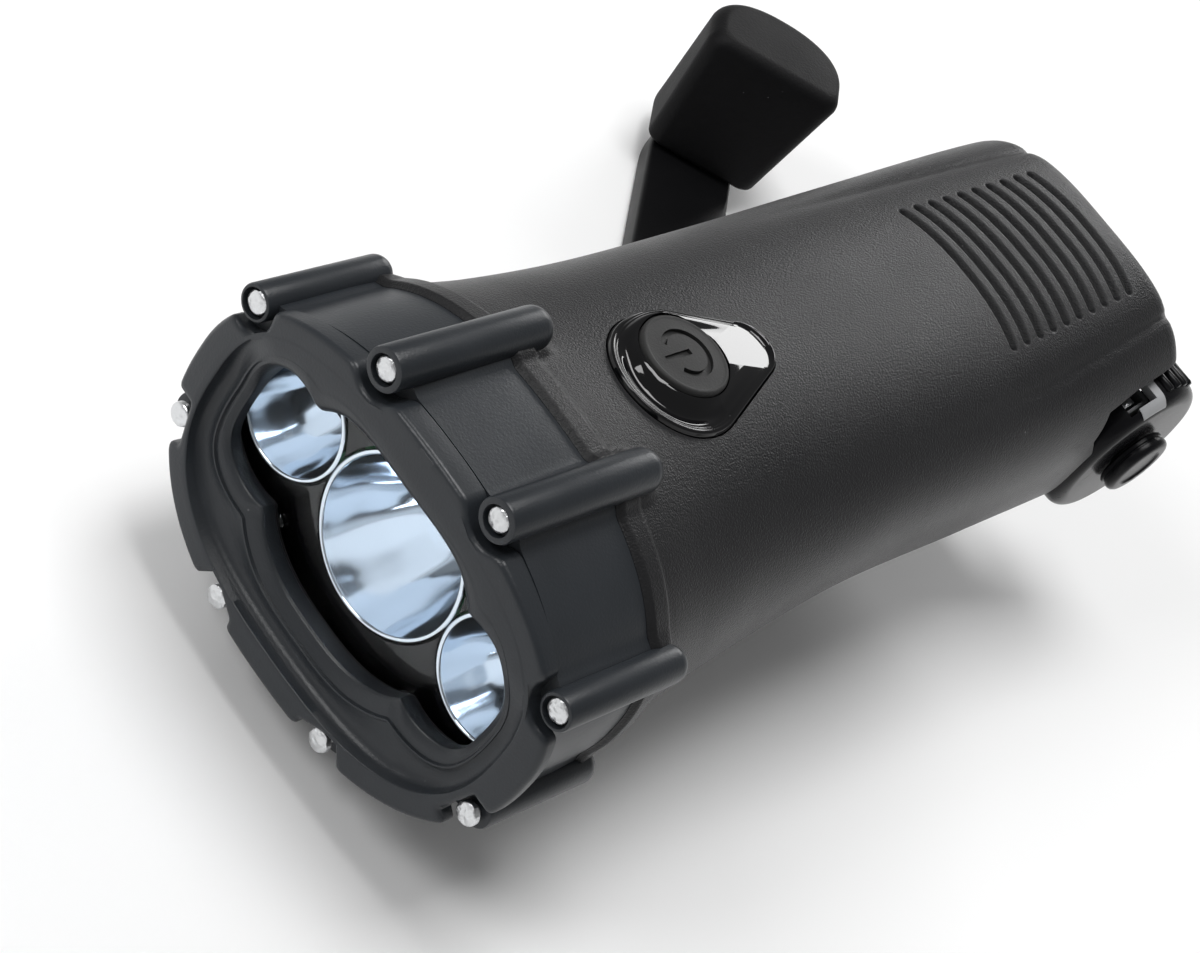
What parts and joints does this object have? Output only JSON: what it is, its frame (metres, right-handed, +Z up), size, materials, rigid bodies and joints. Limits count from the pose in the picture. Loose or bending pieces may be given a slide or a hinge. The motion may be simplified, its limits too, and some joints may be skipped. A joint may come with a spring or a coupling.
{
  "type": "hand crank flashlight",
  "caption": "Palm-size dynamo torch with a flared rodded head, three reflector lamps, a top push button, grip grooves, a folding crank with a knob, and a socket cover.",
  "frame": {"origin": "on the crank axis, in the plane of the crank arm's flat underside, on which the torch lies", "axes": "+X to the lamp, +Y to the side with the charging socket, +Z up to the power button"},
  "size_m": [0.1602, 0.1046, 0.0563],
  "materials": {
    "shell": "fine matt grain, black",
    "gloss": "polished black",
    "rubber": "matt black",
    "chrome": "bright metallised plastic",
    "steel": "bright zinc plated",
    "copper": "varnished winding",
    "nylon": "natural white",
    "board": "green circuit board",
    "lens": "clear",
    "led": "clear domed lamp",
    "wrap": "shrink sleeve",
    "grey": "light grey"
  },
  "bodies": {
    "housing": {"bezel": "shell", "head_shell": "shell", "top_shell": "shell", "bottom_shell": "shell", "front_lens": "lens", "lens_gasket": "rubber", "reflector_plate": "gloss", "reflector_far": "chrome", "reflector_centre": "chrome", "reflector_near": "chrome", "led_far": "led", "led_centre": "led", "led_near": "led", "led_board": "board", "button_bezel": "gloss", "button_switch": "gloss", "main_board": "board", "gear_plate": "steel", "gear_pin_1": "steel", "gear_pin_2": "steel", "dynamo_stator": "copper", "battery_pack": "wrap", "socket_block": "grey", "charging_socket": "steel", "cover_pivot_cap": "shell", "bezel_screw_1": "steel", "bezel_screw_2": "steel", "bezel_screw_3": "steel", "bezel_screw_4": "steel", "bezel_screw_5": "steel", "bezel_screw_6": "steel", "bezel_screw_7": "steel", "bezel_screw_8": "steel", "case_screw_1": "steel", "case_screw_2": "steel", "case_screw_3": "steel", "case_screw_4": "steel"},
    "crank": {"crank_hub": "shell", "fold_pin": "steel", "crank_gear": "nylon"},
    "arm": {"crank_arm": "shell", "knob_pin": "steel"},
    "knob": {"crank_knob": "rubber"},
    "idler_1": {"idler_gear_1": "nylon"},
    "idler_2": {"idler_gear_2": "nylon"},
    "rotor": {"dynamo_rotor": "steel"},
    "button": {"power_button": "rubber"},
    "cover": {"socket_cover": "shell"}
  },
  "joints": [
    {"name": "crank_spin", "type": "hinge", "parent": "housing", "child": "crank", "pos_m": [0, 0, 0], "axis": [0, 0, 1], "continuous": true},
    {"name": "arm_fold", "type": "hinge", "parent": "crank", "child": "arm", "pos_m": [0.00231, 0.00191, 0.0023], "axis": [0.6361, -0.7716, 0], "range_deg": [0, 180]},
    {"name": "knob_spin", "type": "hinge", "parent": "arm", "child": "knob", "pos_m": [-0.0733, -0.06043, 0.0046], "axis": [0, 0, 1], "continuous": true},
    {"name": "idler_1_spin", "type": "hinge", "parent": "housing", "child": "idler_1", "pos_m": [-0.02, 0, 0], "axis": [0, 0, 1], "continuous": true},
    {"name": "idler_2_spin", "type": "hinge", "parent": "housing", "child": "idler_2", "pos_m": [-0.038, 0, 0], "axis": [0, 0, 1], "continuous": true},
    {"name": "rotor_spin", "type": "hinge", "parent": "housing", "child": "rotor", "pos_m": [-0.054, 0, 0], "axis": [0, 0, 1], "continuous": true},
    {"name": "button_press", "type": "slide", "parent": "housing", "child": "button", "axis": [0, 0, 1], "range_m": [-0.001, 0], "stiffness_N_per_m": 1500},
    {"name": "cover_turn", "type": "hinge", "parent": "housing", "child": "cover", "pos_m": [-0.0665, 0.022, 0.0342], "axis": [0, 1, 0], "range_deg": [0, 60]}
  ],
  "couplings": [
    {"joint": "idler_1_spin", "follows": "crank_spin", "ratio": -4},
    {"joint": "idler_2_spin", "follows": "crank_spin", "ratio": 14},
    {"joint": "rotor_spin", "follows": "crank_spin", "ratio": -42}
  ]
}
